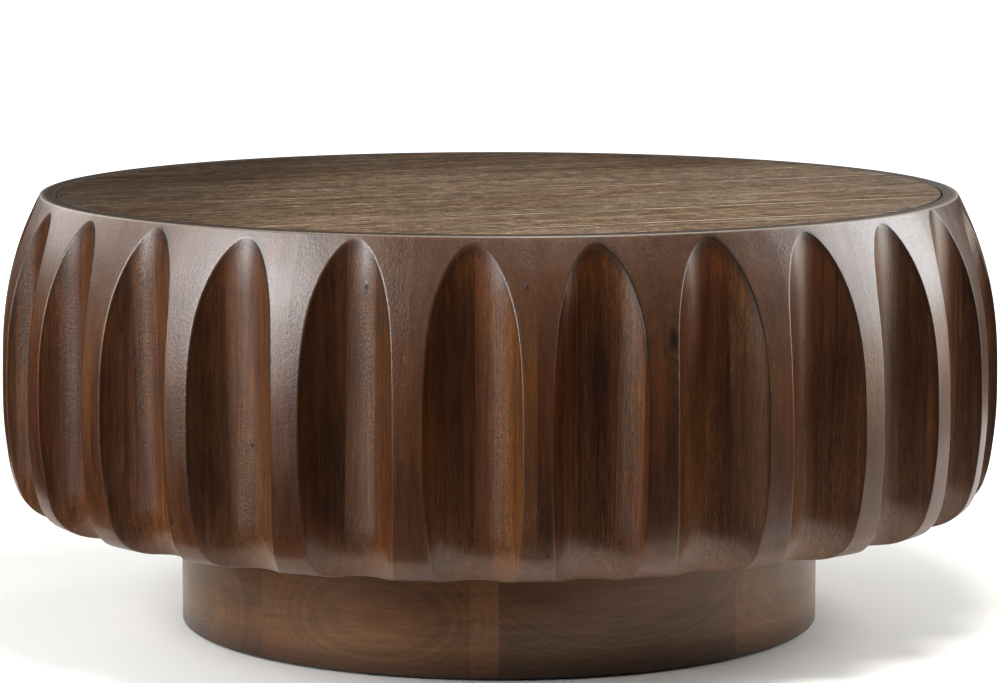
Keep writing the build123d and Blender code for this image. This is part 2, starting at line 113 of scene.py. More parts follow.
# ================================================================ the drum's outline
def drum_profile():
    """Rows of the outer face, from the inner edge of the underside up to the rim: points and outward normals."""
    shoulder = (CORNER_C + CORNER_R * math.cos(CORNER_LEAN), DRUM_LOW + CORNER_R - CORNER_R * math.sin(CORNER_LEAN))
    under = [(r, DRUM_LOW) for r in (425.0, 432.0, 436.0, 438.0, 439.5, 441.0, 442.2, 443.4, 444.7, 446.0, 447.5)]
    turn = np.linspace(-math.pi / 2, -CORNER_LEAN, 29)[:-1]
    arc = [(CORNER_C + CORNER_R * math.cos(a), DRUM_LOW + CORNER_R + CORNER_R * math.sin(a)) for a in turn]
    lean_in = np.array([-0.47, 0.883]) / math.hypot(0.47, 0.883)
    fine = clamped_spline([shoulder, *BULGE, (RIM_R, TOP)], (math.sin(CORNER_LEAN), math.cos(CORNER_LEAN)), lean_in, 0.5)
    # the rim's outer corner, eased
    ease = 2.2
    back = ease * math.tan(math.acos(-lean_in[0]) / 2)
    s = np.cumsum(np.linalg.norm(np.diff(fine[::-1], axis=0), axis=1))
    fine = fine[: len(fine) - 1 - int(np.searchsorted(s, back))]
    wall = resample(fine, lambda z: 3.3 if z < 395 else 1.5 if z < 412 else 1.1)
    start = wall[-1]
    outward = np.array([lean_in[1], -lean_in[0]])
    centre = np.array([start[0], start[1]]) - ease * outward
    centre[1] = TOP - ease
    a0 = math.atan2(outward[1], outward[0])
    corner = [centre + ease * np.array([math.cos(a), math.sin(a)]) for a in np.linspace(a0, math.pi / 2, 6)[1:]]
    pts = np.array([*under, *arc, *wall, *corner], float)
    tang = np.gradient(pts, axis=0)
    tang /= np.linalg.norm(tang, axis=1)[:, None]
    nrm = np.stack([tang[:, 1], -tang[:, 0]], 1)
    nrm[: len(under)] = (0, -1)
    for i, a in enumerate(turn):
        nrm[len(under) + i] = (math.cos(a), math.sin(a))
    nrm[-1] = (0, 1)
    return pts, nrm


def cove_distance(x, y, z, cut):
    """Distance from a point to the carved hollow of a stave: positive in the wood."""
    y = y - cut["shift"] - cut["tilt"] * (z - 270) - cut["wave"] * np.sin((z - cut["at"]) / 46.0)
    y = y * np.where(y > 0, cut["right"], cut["left"])
    r, floor = COVE_R, FLOOR_R + cut["floor"]
    high = COVE_HIGH + cut["rise"]
    foot_c, head_c = floor - FOOT_ARC, floor - HEAD_ARC
    plumb = x - floor - r
    foot = np.hypot(x - foot_c, z - COVE_LOW) - FOOT_ARC - r
    head = np.hypot(x - head_c, z - high) - HEAD_ARC - r
    across = np.where(z < COVE_LOW, foot, np.where(z > high, head, plumb))
    return np.hypot(across, y) - r


def smooth_max(a, b, k):
    h = np.maximum(k - np.abs(a - b), 0) / k
    return np.maximum(a, b) + h * h * k / 4


PROFILE, NORMAL = drum_profile()


def stave_mesh(cut):
    """Vertices (mm), faces, and where the arrises, the hollow and the rim are, for one stave whose middle is along +X."""
    pr, pz, nr, nz = PROFILE[:, 0], PROFILE[:, 1], NORMAL[:, 0], NORMAL[:, 1]

    def at(theta, t):
        rho = pr[:, None] - t * nr[:, None]
        z = pz[:, None] - t * nz[:, None]
        return rho * np.cos(theta), rho * np.sin(theta), z

    # where the arris runs, on either side, as an angle
    middle = (cut["shift"] + cut["tilt"] * (pz - 270)) / pr
    sides = []
    for sign in (-1, 1):
        lo, hi = middle.copy(), np.full(len(pr), sign * HALF)
        for _ in range(34):
            mid = (lo + hi) / 2
            d = cove_distance(*[c[:, 0] for c in at(mid[:, None], np.zeros((len(pr), 1)))], cut)
            inside = d < 0
            lo, hi = np.where(inside, mid, lo), np.where(inside, hi, mid)
        width = np.maximum(np.abs(lo - middle) * pr, 8.0)
        width = np.minimum(width, np.abs(sign * HALF - middle) * pr - 6.0)
        kernel = np.array([1, 2, 1]) / 4
        width[1:-1] = np.convolve(width, kernel, "valid")
        inner = np.linspace(0, 1, 13)[None, :] * (width - 3.4)[:, None]
        band = (width - 3.4)[:, None] + np.linspace(0, 1, 14)[None, 1:] * 6.4
        edge = np.abs(sign * HALF - middle) * pr
        land = band[:, -1:] + np.linspace(0, 1, 7)[None, 1:] * (edge - band[:, -1])[:, None]
        rows = np.concatenate([inner, band, land], 1) / pr[:, None] * sign + middle[:, None]
        rows[:, -1] = sign * HALF
        sides.append(rows)
    theta = np.concatenate([sides[0][:, :0:-1], sides[1]], 1)

    lo, hi = np.full(theta.shape, -1.0), np.full(theta.shape, 45.0)
    # the eased edge narrows towards the head, where hollow and wall meet at a shallow angle
    turned = np.clip((theta - middle[:, None]) * pr[:, None] / 12 + 0.5, 0, 1)
    crisp = 1 + (cut["crisp"] - 1) * turned
    k = cut["soft"] * np.clip((432 - pz) / 60, 0.20, 1.0)[:, None] * crisp
    for _ in range(44):
        mid = (lo + hi) / 2
        f = smooth_max(-mid, -cove_distance(*at(theta, mid), cut), k)
        lo, hi = np.where(f > 0, mid, lo), np.where(f > 0, hi, mid)
    depth = np.maximum((lo + hi) / 2, 0)
    depth[:, 0] = depth[:, -1] = 0
    x, y, z = at(theta, depth)
    gap = np.abs(cove_distance(x, y, z, cut) - depth)
    arris = np.exp(-((gap / 2.2) ** 2))
    # painted shade: a dark line along the arris, strong on the right side of each hollow where crisp is low, faint on
    # the left, fading out towards the foot
    shade = np.exp(-((gap / 1.5) ** 2)) * (1.15 - crisp) * np.clip((z - 150) / 60, 0, 1)
    # painted highlight: the pale edge mark keeps full strength on the left arris of each hollow, where the key light
    # falls, and is cut to crisp on the right
    arris = arris * crisp
    # the rim's outer corner joins the edge mark, which paints it pale: rubbed wear and a painted highlight on the eased
    # corner
    arris = np.maximum(arris, np.exp(-(((TOP - z) / 2.2) ** 2)) * (np.hypot(x, y) > 455))

    # the rest of the section: rim, rabbet, ledge and inner face
    rest = [(450.0, TOP), (446.0, TOP), (444.3, TOP), (443.73, TOP - 0.23), (RABBET_R, TOP - 0.8),
            (RABBET_R, LEDGE), (WALL_R, LEDGE), (WALL_R, 262.0)]
    rows, cols = theta.shape
    last = theta[-1]
    grid = [np.stack([x[i], y[i], z[i]], 1) for i in range(rows)]
    grid += [np.stack([r * np.cos(last), r * np.sin(last), np.full(cols, h)], 1) for r, h in rest]
    total = len(grid)
    verts = np.vstack(grid)
    faces = []
    for i in range(total):
        j = (i + 1) % total
        for c in range(cols - 1):
            faces.append((i * cols + c, j * cols + c, j * cols + c + 1, i * cols + c + 1))

    # side faces, each with half a groove for the tongue
    low_row = int(np.argmin(np.abs(PROFILE[:, 0] - 446.0) + np.abs(PROFILE[:, 1] - DRUM_LOW)))
    top_row = rows + 1
    r0, r1, z0, z1, deep = GROOVE
    extra, flat = [], []
    for col, sign in ((0, -1), (cols - 1, 1)):
        c, s = math.cos(sign * HALF), math.sin(sign * HALF)
        into = np.array([s, -c, 0]) * sign * deep
        corners = [np.array([r * c, r * s, h]) for r, h in ((r0, z0), (r1, z0), (r1, z1), (r0, z1))]
        mids = [np.array([446 * c, 446 * s, h]) for h in (z0, z1)]
        base = len(verts) + len(extra)
        extra += corners + [p + into for p in corners] + mids
        b0, b1, b2, b3, d0, d1, d2, d3, m0, m1 = range(base, base + 10)
        outer = [r * cols + col for r in range(low_row, top_row + 1)]
        inner = [(r % total) * cols + col for r in range(top_row, total + low_row + 1)]
        loops = [outer + [m1, b2, b1, m0], inner + [m0, b0, b3, m1],
                 [b0, b1, d1, d0], [b1, b2, d2, d1], [b2, b3, d3, d2], [b3, b0, d0, d3], [d0, d1, d2, d3]]
        # the two halves of the groove's rim also carry the middle points
        loops[2] = [b0, m0, b1, d1, d0]
        loops[4] = [b2, m1, b3, d3, d2]
        if sign > 0:
            loops = [loop[::-1] for loop in loops]
        flat += range(len(faces), len(faces) + len(loops))
        faces += [tuple(loop) for loop in loops]
    verts = np.vstack([verts, np.array(extra)])
    pad = len(verts) - rows * cols
    edge = np.concatenate([arris.ravel(), np.zeros(pad)])
    shade = np.concatenate([shade.ravel(), np.zeros(pad)])
    hollow = np.concatenate([(depth / 34).ravel(), np.zeros(pad)])
    # the rim's inner corner also gets the pale edge mark: partly wear, partly painted highlight
    edge[(rows + 2) * cols: (rows + 5) * cols] = 0.7
    radius = np.hypot(verts[:, 0], verts[:, 1])
    rim = np.clip((verts[:, 2] - (TOP - 1.6)) / 1.5, 0, 1) * (radius > 440)
    return verts, faces, flat, edge, shade, hollow, rim


# Each flute is carved by hand, so no two are quite alike. Some are a little shallower, and end lower.
SHALLOW = {0: 1.3, 2: 1.2, 4: -1.3, 21: 1.0, 23: -1.1, 24: 2.3, 26: 0.7}


def flute_cut(i):
    w = rng.normal(0, 1, 10)
    wide = 0.965 if i == 24 else 1.0
    # crisp below 1 makes the right arris sharper and also sets painted light there: the right arris gets painted shade
    # and less painted highlight; staves 25 and 26 keep both arrises alike
    return {"shift": 0.7 * w[0], "tilt": 0.004 * w[1], "wave": 0.35 * w[2], "at": 60 * w[3],
            "left": wide + 0.010 * w[4], "right": wide + 0.010 * w[5], "floor": 0.5 * w[6] + SHALLOW.get(i, 0.0),
            "rise": 1.5 * w[7], "soft": 1.45 + 0.2 * abs(w[8]), "crisp": 1.0 if i in (25, 26) else 0.4}


# The boards that a stave is glued up from: where their joints are across it and how dark each is. On the front staves
# the listed joints follow the shadow edges inside the hollows, and the boards over the shaded walls are listed darker
# and those over the lit walls lighter: painted shadow and painted light over the boards' own tones.
SEAMS = {0: (19.5, 40), 1: (-40, 21), 24: (-18, 40), 25: (-9, 19), 26: (1, 41)}
TONES = {0: (0.45, 0.65, 0.48), 1: (0.45, 0.57, 0.62), 2: (0.57, 0.62, 0.56), 3: (0.57, 0.52, 0.56), 4: (0.55, 0.48, 0.42),
         5: (0.46, 0.52, 0.5), 21: (0.48, 0.46, 0.48), 22: (0.49, 0.51, 0.53), 23: (0.46, 0.48, 0.52),
         24: (0.47, 0.60, 0.47), 25: (0.39, 0.67, 0.49), 26: (0.43, 0.61, 0.62)}
# how grey each board is: dust, and on the lit parts of the front hollows a painted sheen
DUST_AND_SHEEN = {0: (0.0, 0.45, 0.0), 1: (0.0, 0.0, 0.5), 24: (0.0, 0.5, 0.1), 25: (0.0, 0.75, 0.1), 26: (0.0, 0.1, 0.3)}
KNOTS = {25: (11, 389, 3.4), 26: (47, 392, 2.6), 0: (-47, 150, 4.0), 1: (-47, 344, 12.0)}


def stave_boards(i):
    a, b = rng.uniform(-40, 40, 2)
    t = rng.normal(0.50, 0.085, 3)
    if rng.random() < 0.35:
        b = 90.0
    k = (rng.uniform(-50, 50), rng.uniform(150, 400), rng.uniform(2.5, 6.0) if rng.random() < 0.4 else 0.01)
    a, b = SEAMS.get(i, (min(a, b), max(a, b)))
    k = KNOTS.get(i, k)
    t = TONES.get(i, t)
    return (a * MM, b * MM, rng.normal(0, 0.012)), tuple(t), tuple(v * MM for v in k)


drum = []
for i in range(STAVES):
    name = f"stave_{i + 1:02d}"
    cut = flute_cut(i)
    verts, faces, flat, edge, shade, hollow, rim = stave_mesh(cut)
    a = math.radians(PHASE + i * PITCH)
    c, s = math.cos(a), math.sin(a)
    place = np.stack([verts[:, 0] * c - verts[:, 1] * s, verts[:, 0] * s + verts[:, 1] * c, verts[:, 2]], 1) * MM
    local = np.stack([(verts[:, 0] - 480) * MM, verts[:, 1] * MM, verts[:, 2] * MM], 1)
    seam, tones, spot = stave_boards(i)
    count = len(verts)
    ob = new_piece(f"carved_{name}", place, faces, name, flat,
                   {"wood_co": local, "edge": edge, "shade": shade, "hollow": hollow, "rim": rim,
                    "ident": np.full(count, float(i + 1)), "seam": np.tile(seam, (count, 1)),
                    "tone": np.tile(tones, (count, 1)), "knot": np.tile(spot, (count, 1)),
                    "grey_dust_and_sheen": np.tile(DUST_AND_SHEEN.get(i, (0.1, 0.3, 0.2)), (count, 1))})
    drum.append(ob)

# ================================================================ the plinth's segments
SEGMENTS, PLINTH_R, PLINTH_IN, PLATE_R, PLATE_LOW, PAD = 8, 321.5, 285.0, 300.0, 102.0, 2.0


def segment_mesh():
    """One curved segment whose middle is along +X, in mm."""
    ease = [(PLINTH_R - 1.4 + 1.4 * math.cos(a), PAD + 1.4 + 1.4 * math.sin(a))
            for a in np.linspace(-math.pi / 2, 0, 5)]
    section = [*ease, (PLINTH_R, 30.0), (PLINTH_R, 60.0), (PLINTH_R, 90.0), (PLINTH_R, DRUM_LOW - 0.3),
               (PLINTH_R - 0.3, DRUM_LOW), (PLATE_R, DRUM_LOW), (PLATE_R, PLATE_LOW), (PLINTH_IN, PLATE_LOW),
               (PLINTH_IN, 60.0), (PLINTH_IN, PAD)]
    half = math.pi / SEGMENTS
    turn = np.linspace(-half, half, 37)
    cols, total = len(turn), len(section)
    verts = np.vstack([np.stack([r * np.cos(turn), r * np.sin(turn), np.full(cols, z)], 1) for r, z in section])
    faces = [(i * cols + c, ((i + 1) % total) * cols + c, ((i + 1) % total) * cols + c + 1, i * cols + c + 1)
             for i in range(total) for c in range(cols - 1)]
    flat = [len(faces), len(faces) + 1]
    faces += [tuple(r * cols for r in range(total)), tuple(r * cols + cols - 1 for r in range(total))[::-1]]
    # painted shadow: marks the bottom ease for a dark line where the plinth meets the floor
    low = np.exp(-(((verts[:, 2] - PAD) / 2.5) ** 2)) * (verts[:, 0] ** 2 + verts[:, 1] ** 2 > 310**2)
    return verts, faces, flat, low


PLINTH_BOARDS = {7: (0.50, -0.004, -0.108), 0: (0.45, 0.090, -0.150), 1: (0.53, 0.012, -0.060), 2: (0.56, 0.020, -0.070), 6: (0.41, -0.02, -0.16)}
plinth = []
verts, faces, flat, edge = segment_mesh()
for j in range(SEGMENTS):
    name = f"plinth_segment_{j + 1}"
    a = math.radians(-90 + (j + 0.5) * 360 / SEGMENTS)
    c, s = math.cos(a), math.sin(a)
    place = np.stack([verts[:, 0] * c - verts[:, 1] * s, verts[:, 0] * s + verts[:, 1] * c, verts[:, 2]], 1) * MM
    count = len(verts)
    # depth into the board, height across it and length along it
    local = np.stack([(verts[:, 0] - 310) * MM, (verts[:, 2] - 60) * MM, verts[:, 1] * MM], 1)
    # how dark the board is, and where the heart of its rings lies: height in it and distance in front of it
    tones = (rng.normal(0.50, 0.05), rng.uniform(-0.03, 0.03), -rng.uniform(0.05, 0.12))
    tones = PLINTH_BOARDS.get(j, tones)
    ob = new_piece(f"turned_{name}", place, faces, name, flat,
                   {"wood_co": local, "edge": edge, "ident": np.full(count, 40.0 + j),
                    "tone": np.tile(tones, (count, 1))})
    plinth.append(ob)

# ================================================================ camera, floor, light
cam_data = bpy.data.cameras.new("camera")
cam_data.sensor_width = 36.0
cam_data.lens = 139.6
cam_data.clip_start, cam_data.clip_end = 0.1, 200.0
cam = bpy.data.objects.new("camera", cam_data)
cam.location = (0.001, -3.888, 0.7914)
cam.rotation_euler = (math.radians(90 - 7.5), 0, 0)
bpy.context.scene.collection.objects.link(cam)
bpy.context.scene.camera = cam



def stage_ring(name, inner, outer):
    """A piece of floor between two circles, given as (x, y, radius). Without an inner circle it is a disc."""
    turn = np.linspace(0, 2 * math.pi, 97)[:-1]
    rows = [[(x + r * math.cos(a), y + r * math.sin(a), -0.0002) for a in turn] for x, y, r in filter(None, (inner, outer))]
    if inner:
        faces = [(k, 96 + k, 96 + (k + 1) % 96, (k + 1) % 96) for k in range(96)]
    else:
        faces = [tuple(range(96))]
    me = bpy.data.meshes.new(name)
    me.from_pydata(sum(rows, []), [], faces)
    ob = bpy.data.objects.new(name, me)
    bpy.context.scene.collection.objects.link(ob)
    return ob


floor = stage_ring("studio_floor", None, (0.32, 0.48, 1.12))
apron = stage_ring("studio_apron", (0.32, 0.48, 1.12), (0, 0, 2.2))
backdrop = stage_ring("studio_backdrop", (0, 0, 2.2), (0, 0, 40.0))

scene = bpy.context.scene
scene.view_settings.view_transform = "Standard"
scene.view_settings.gamma = 0.8


# ================================================================ node helpers
class Graph:
    """A material's node tree, written as expressions."""

    def __init__(self, tree):
        self.tree = tree
        tree.nodes.clear()

    def node(self, kind, ins=(), out=0, **props):
        n = self.tree.nodes.new(kind)
        for k, v in props.items():
            setattr(n, k, v)
        for k, v in ins.items() if isinstance(ins, dict) else enumerate(ins):
            if isinstance(v, bpy.types.NodeSocket):
                self.tree.links.new(v, n.inputs[k])
            elif v is not None:
                n.inputs[k].default_value = v
        return n.outputs[out]

    def math(self, op, *ins, clamp=False):
        return self.node("ShaderNodeMath", ins, operation=op, use_clamp=clamp)

    def add(self, a, b):
        return self.math("ADD", a, b)

    def sub(self, a, b):
        return self.math("SUBTRACT", a, b)

    def mul(self, a, b):
        return self.math("MULTIPLY", a, b)

    def madd(self, a, b, c):
        return self.math("MULTIPLY_ADD", a, b, c)

    def hypot(self, a, b):
        return self.math("SQRT", self.add(self.mul(a, a), self.mul(b, b)))

    def bell(self, d, width):
        """exp(-(d / width)^2)"""
        q = self.math("DIVIDE", d, width)
        return self.math("POWER", math.e, self.mul(self.mul(q, q), -1.0))

    def vec(self, x, y, z):
        return self.node("ShaderNodeCombineXYZ", (x, y, z))

    def parts(self, v):
        n = self.tree.nodes.new("ShaderNodeSeparateXYZ")
        self.tree.links.new(v, n.inputs[0])
        return n.outputs[0], n.outputs[1], n.outputs[2]

    def shift(self, v, w):
        return self.node("ShaderNodeVectorMath", (v, w), operation="ADD")

    def noise(self, v, scale=1.0, detail=2.0, rough=0.5, distort=0.0):
        return self.node("ShaderNodeTexNoise", {"Vector": v, "Scale": scale, "Detail": detail,
                                                "Roughness": rough, "Distortion": distort})

    def noise1(self, w, scale=1.0, detail=2.0, rough=0.5):
        return self.node("ShaderNodeTexNoise", {"W": w, "Scale": scale, "Detail": detail, "Roughness": rough},
                         noise_dimensions="1D")

    def cells(self, v, scale=1.0):
        return self.node("ShaderNodeTexVoronoi", {"Vector": v, "Scale": scale})

    def step(self, x, lo, hi, a=0.0, b=1.0, kind="SMOOTHSTEP"):
        return self.node("ShaderNodeMapRange", (x, lo, hi, a, b), interpolation_type=kind)

    def dice(self, key):
        """Three even random numbers for a key."""
        return self.parts(self.node("ShaderNodeTexWhiteNoise", {"W": key}, out=1, noise_dimensions="1D"))

    def mix(self, f, a, b, blend="MIX"):
        return self.node("ShaderNodeMix", {0: f, 6: a, 7: b}, out=2, data_type="RGBA", blend_type=blend)

    def ramp(self, f, stops, kind="LINEAR"):
        n = self.tree.nodes.new("ShaderNodeValToRGB")
        n.color_ramp.interpolation = kind
        e = n.color_ramp.elements
        while len(e) < len(stops):
            e.new(0.5)
        for k, (pos, c) in enumerate(stops):
            e[k].position = pos
            e[k].color = (*c, 1) if len(c) == 3 else c
        self.tree.links.new(f, n.inputs[0])
        return n.outputs[0]

    def attr(self, name, out=2):
        return self.node("ShaderNodeAttribute", out=out, attribute_name=name, attribute_type="GEOMETRY")

    def bump(self, height, distance, strength=1.0, under=None):
        return self.node("ShaderNodeBump", {"Height": height, "Distance": distance, "Strength": strength,
                                            "Normal": under})

    def finish(self, colour, rough, normal=None, **uniform):
        n = self.tree.nodes.new("ShaderNodeBsdfPrincipled")
        for k, v in {"Base Color": colour, "Roughness": rough, "Normal": normal}.items():
            if isinstance(v, bpy.types.NodeSocket):
                self.tree.links.new(v, n.inputs[k])
            elif v is not None:
                n.inputs[k].default_value = v
        for k, v in uniform.items():
            if isinstance(v, bpy.types.NodeSocket):
                self.tree.links.new(v, n.inputs[k.replace("_", " ")])
            else:
                n.inputs[k.replace("_", " ")].default_value = v
        out = self.tree.nodes.new("ShaderNodeOutputMaterial")
        self.tree.links.new(n.outputs[0], out.inputs[0])


def material(name):
    m = bpy.data.materials.new(name)
    m.use_nodes = True
    return m, Graph(m.node_tree)


# ================================================================ wood
def wood(g, depth, across, along, key, ring=0.0052, slope=0.05, waver=0.010, knot=None, pith=0.05,
         stretch=1.0, centre=None, thin=1.0):
    """Patterns of one board, in metres along and across its grain: a dict of sockets.
    rings and fibre are about 0.5 on average; pore and eye are 0 to 1."""
    r1, r2, r3 = g.dice(key)
    jump = g.vec(g.mul(r1, 37.0), g.mul(r2, 61.0), g.mul(r3, 23.0))
    tilt = g.madd(g.sub(r1, 0.5), slope, 0.0)
    slow = g.noise(g.shift(g.vec(g.mul(depth, 9.0), g.mul(across, 9.0), g.mul(along, 3.2 * stretch)), jump), detail=2.0)
    bend = g.mul(g.sub(slow, 0.5), waver)
    across2 = g.add(g.madd(along, tilt, across), bend)
    depth2 = g.madd(bend, 0.7, depth)
    eye = halo = None
    if knot:
        ka, kz, size = knot
        da, dz = g.sub(across, ka), g.mul(g.sub(along, kz), 0.5)
        d = g.math("DIVIDE", g.hypot(da, dz), size)
        wob = g.noise(g.shift(g.vec(g.mul(across, 260.0), g.mul(along, 130.0), 0.0), jump), detail=2.0)
        d = g.madd(g.sub(wob, 0.5), 0.55, d)
        pull = g.bell(d, 1.7)
        across2 = g.madd(g.mul(da, pull), -0.8, across2)
        eye = g.bell(d, 0.42)
        halo = g.mul(g.madd(g.math("SINE", g.mul(d, 8.5)), 0.5, 0.5), g.bell(d, 1.25))
    # growth rings round a pith that lies outside the board
    px, py = centre or (g.madd(r2, 0.10, pith), g.mul(g.sub(r3, 0.5), 0.15))
    radius = g.hypot(g.add(depth2, px), g.sub(across2, py))
    radius = g.add(radius, g.mul(g.mul(along, g.sub(r2, 0.5)), 0.05))
    rings = g.noise1(g.madd(key, 3.7, g.mul(radius, 1.0 / ring)), detail=2.5, rough=0.62)

    def field(a, b, detail, rough=0.5, seed=0.0):
        """Noise with a features per metre across the grain and b along it."""
        v = g.vec(g.madd(depth2, a * thin, seed), g.mul(across2, a), g.mul(along, b * stretch))
        return g.noise(g.shift(v, jump), detail=detail, rough=rough)

    fibre = field(900.0, 36.0, 2.0, 0.65)
    grain = field(640.0, 210.0, 1.5, 0.6, 5.0)
    streak = field(210.0, 7.0, 2.0)
    blotch = field(21.0, 7.5, 3.0, 0.6, 9.0)
    hue = field(13.0, 4.6, 2.5, 0.6, 17.0)
    cell = g.cells(g.shift(g.vec(g.mul(depth2, 620.0 * thin), g.mul(across2, 620.0), g.mul(along, 92.0 * stretch)), jump))
    pore = g.mul(g.step(cell, 0.40, 0.16), g.step(hue, 0.36, 0.60, 0.30, 1.0))
    return {"rings": rings, "fibre": fibre, "grain": grain, "blotch": blotch, "streak": streak, "hue": hue,
            "slow": slow, "pore": pore, "eye": eye, "halo": halo, "dice": (r1, r2, r3)}


def blend(g, w, start, **amounts):
    """A tone: start plus the named patterns about their means."""
    tone = start
    for name, amount in amounts.items():
        tone = g.madd(g.sub(w[name], 0.5), amount, tone)
    return tone


# the drum: vertical grain, boards of different tone, dark stain under satin lacquer
drum_mat, g = material("drum_wood")
depth, across, along = g.parts(g.attr("wood_co", 1))
seam1, seam2, lean = g.parts(g.attr("seam", 1))
tone0, tone1, tone2 = g.parts(g.attr("tone", 1))
knot = g.parts(g.attr("knot", 1))
off = g.madd(g.sub(along, 0.27), lean, across)
is1, is2 = g.math("GREATER_THAN", off, seam1), g.math("GREATER_THAN", off, seam2)
key = g.add(g.mul(g.attr("ident"), 3.0), g.add(is1, is2))
board = g.add(tone0, g.add(g.mul(is1, g.sub(tone1, tone0)), g.mul(is2, g.sub(tone2, tone1))))
dust0, dust1, dust2 = g.parts(g.attr("grey_dust_and_sheen", 1))
board_dust_and_sheen = g.add(dust0, g.add(g.mul(is1, g.sub(dust1, dust0)), g.mul(is2, g.sub(dust2, dust1))))
w = wood(g, depth, across, along, key, knot=knot)
r1, r2, r3 = w["dice"]
hollow = g.attr("hollow")
land = g.step(hollow, 0.10, 0.01)
pattern = blend(g, w, 0.0, rings=0.24, blotch=0.56, streak=0.40, fibre=0.62, grain=0.26)
# the stain evens out the boards on the upper lands and round the foot
upper = g.mul(land, g.step(along, 0.28, 0.37))
foot = g.step(along, 0.178, 0.128)
even = g.math("MAXIMUM", upper, g.step(along, 0.195, 0.148))
board = g.madd(g.sub(0.525, board), g.mul(even, 0.75), board)
tone = g.madd(pattern, g.sub(1.0, g.madd(upper, 0.16, g.mul(land, 0.36))), board)
# painted shade and light: the lands are painted darker low down and a little paler high up
tone = g.madd(land, g.step(along, 0.19, 0.35, -0.08, 0.045), tone)
tone = g.madd(w["halo"], -0.14, tone)
# painted light: the foot is painted paler, for the bounce light from the floor on the lip that turns under
tone = g.madd(foot, 0.08, tone)
red = g.ramp(tone, [(0.0, (0.0102, 0.00255, 0.000594)), (0.30, (0.0367, 0.00912, 0.0019)), (0.52, (0.0796, 0.0223, 0.00475)),
                    (0.75, (0.133, 0.0456, 0.0105)), (1.0, (0.214, 0.0893, 0.023))])
tan = g.ramp(tone, [(0.0, (0.014, 0.00405, 0.000536)), (0.30, (0.046, 0.0135, 0.00173)), (0.52, (0.1, 0.0324, 0.00433)),
                    (0.75, (0.165, 0.063, 0.0097)), (1.0, (0.27, 0.121, 0.0227))])
olive = g.ramp(tone, [(0.0, (0.00972, 0.0037, 0.000713)), (0.30, (0.0324, 0.0123, 0.00232)), (0.52, (0.067, 0.0273, 0.00555)),
                      (0.75, (0.113, 0.051, 0.0112)), (1.0, (0.194, 0.0968, 0.024))])
grey_dust_and_sheen = g.ramp(tone, [(0.0, (0.0085, 0.0038, 0.0018)), (0.30, (0.029, 0.0127, 0.0060)), (0.52, (0.062, 0.0275, 0.0130)),
                      (0.75, (0.108, 0.051, 0.025)), (1.0, (0.182, 0.092, 0.048))])
colour = g.mix(g.step(g.add(w["hue"], g.mul(g.sub(r3, 0.5), 0.14)), 0.42, 0.60, 0.0, 0.9), red, tan)
colour = g.mix(g.step(w["slow"], 0.50, 0.66, 0.0, 0.55), colour, olive)
# painted sheen: the upper lands are painted greyer, where the light's sheen falls on them; the greyness listed per
# board is dust, and on the lit parts of the front hollows a painted sheen
colour = g.mix(g.math("MAXIMUM", board_dust_and_sheen, g.mul(land, g.step(along, 0.27, 0.37, 0.0, 0.80))), colour, grey_dust_and_sheen)
# painted light: the foot's colour is drawn towards a paler tan
colour = g.mix(g.mul(foot, 0.6), colour, g.mix(0.4, tan, grey_dust_and_sheen))
colour = g.mix(g.mul(w["pore"], g.madd(land, -0.30, 0.65)), colour, (0.008, 0.0028, 0.0012, 1))
colour = g.mix(g.mul(w["eye"], 0.85), colour, (0.009, 0.0034, 0.0020, 1))
# pale arrises: wear, patchy along the grain, and a painted highlight, strongest on the left arris of each hollow
worn = g.mul(g.attr("edge"), g.step(w["grain"], 0.35, 0.65, 0.25, 1.0))
colour = g.mix(g.mul(worn, 0.18), colour, (0.20, 0.105, 0.060, 1))
rim = g.attr("rim")
# painted shade: a dark band just inside the arrises, and a dark line along the right arris of each hollow (the shade
# attribute), where shadow falls; the rim is planed bare and darkened, and its edge painted pale, partly rubbed wear and
# partly a painted highlight on the eased corner
painted_crease_shade = g.mul(g.bell(g.sub(hollow, 0.055), 0.045), g.step(hollow, 0.004, 0.03))
painted_crease_shade = g.mul(painted_crease_shade, g.step(along, 0.16, 0.23))
colour = g.mix(g.math("MAXIMUM", g.mul(painted_crease_shade, 0.42), g.mul(g.attr("shade"), 0.90)), colour, (0.007, 0.0026, 0.0012, 1))
colour = g.mix(rim, colour, g.ramp(tone, [(0.2, (0.020, 0.013, 0.009)), (0.52, (0.044, 0.030, 0.021)),
                                          (0.85, (0.090, 0.065, 0.048))]))
# the rim's edges painted pale: partly rubbed wear, partly a painted highlight along the eased corner
colour = g.mix(g.mul(rim, g.mul(g.math("POWER", g.attr("edge"), 3.0), 0.60)), colour, (0.34, 0.28, 0.22, 1))
peel = g.noise(g.vec(depth, across, g.mul(along, 0.8)), 430.0, 2.0, 0.6)
peel = g.mul(peel, g.step(w["slow"], 0.42, 0.62, 0.50, 1.25))
plane = g.noise(g.vec(depth, across, g.mul(along, 0.35)), 34.0, 1.0)
height = g.madd(w["fibre"], 0.00011, g.mul(w["pore"], -0.00006))
height = g.madd(peel, 0.00034, height)
height = g.madd(plane, 0.0009, height)
height = g.madd(w["eye"], -0.0004, height)
normal = g.bump(height, 1.0)
rough = g.madd(g.sub(w["streak"], 0.5), 0.10, g.madd(w["pore"], 0.12, 0.38))
rough = g.madd(rim, 0.08, rough)
g.finish(colour, rough, normal, Specular_IOR_Level=0.5, Coat_Weight=0.42, Coat_Roughness=0.28, Coat_IOR=1.5)
for ob in drum:
    ob.data.materials.append(drum_mat)

